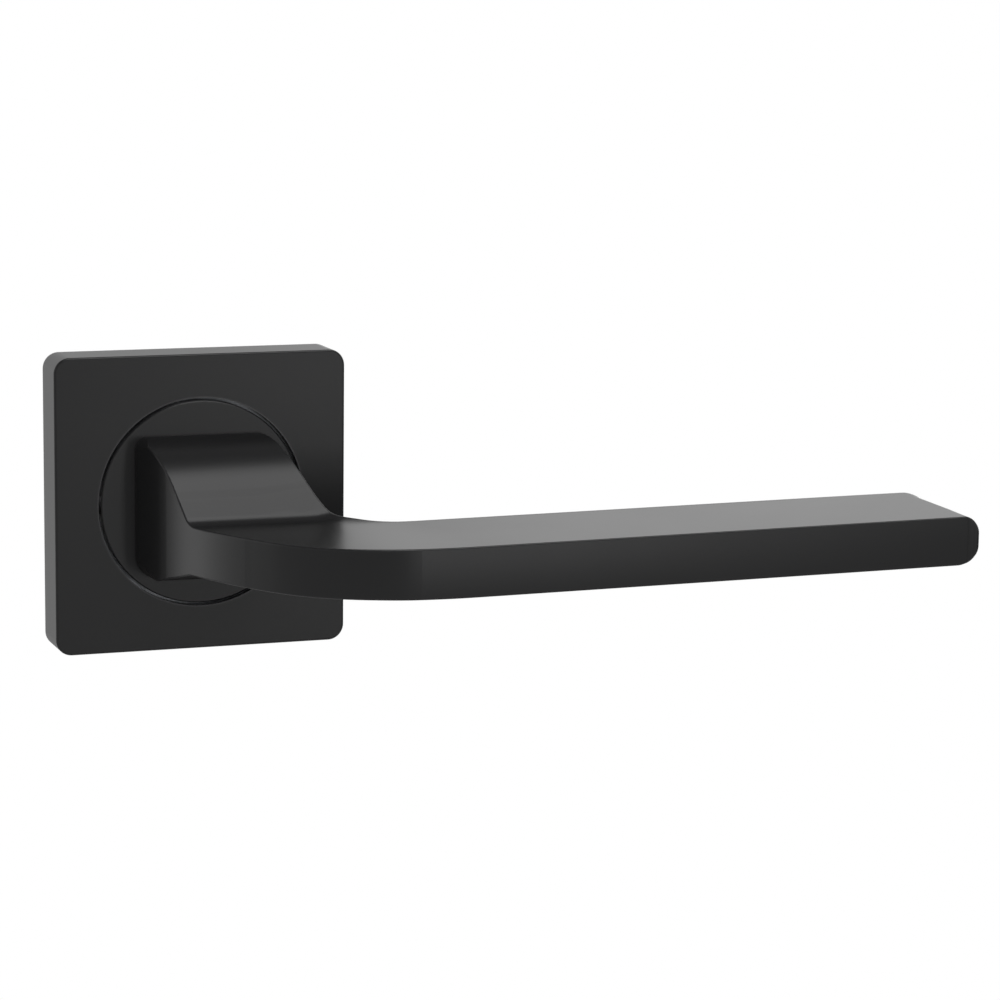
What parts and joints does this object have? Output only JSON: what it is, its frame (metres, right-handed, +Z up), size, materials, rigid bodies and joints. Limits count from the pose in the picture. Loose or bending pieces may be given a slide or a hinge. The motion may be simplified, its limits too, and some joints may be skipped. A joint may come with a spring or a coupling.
{
  "type": "door lever handle",
  "caption": "Flat angular door lever on a square rose with a flush round disc, a sprung return, a square spindle and concealed fixing.",
  "frame": {"origin": "on the spindle's axis, in the plane of the door's face", "axes": "+Y into the door along the spindle, +X along the lever at rest, +Z up"},
  "size_m": [0.153, 0.103, 0.052],
  "materials": {
    "black_casting": "satin black",
    "zinc_casting": "as cast",
    "plated_steel": "zinc plated",
    "dark_steel": "oiled black",
    "bearing_plastic": "natural"
  },
  "bodies": {
    "rose": {"rose_cover": "black_casting", "rose_base": "zinc_casting", "bearing_bush": "bearing_plastic", "glide_ring": "bearing_plastic", "slip_washer": "plated_steel", "spring_washer": "dark_steel", "return_spring": "dark_steel", "spring_plate": "plated_steel", "plate_screw_1": "plated_steel", "plate_screw_2": "plated_steel", "plate_screw_3": "plated_steel", "plate_screw_4": "plated_steel", "fixing_post_left": "plated_steel", "fixing_post_right": "plated_steel", "cover_grub_screw": "dark_steel"},
    "lever": {"lever": "black_casting", "spindle": "plated_steel", "spindle_grub_screw": "dark_steel", "drive_plate": "plated_steel", "retaining_ring": "dark_steel"}
  },
  "joints": [
    {"name": "lever_turn", "type": "hinge", "parent": "rose", "child": "lever", "pos_m": [0, 0, 0], "axis": [0, 1, 0], "range_deg": [0, 45], "stiffness_Nm_per_rad": 0.8, "springref_deg": -34.38, "deforming": ["return_spring"]}
  ]
}
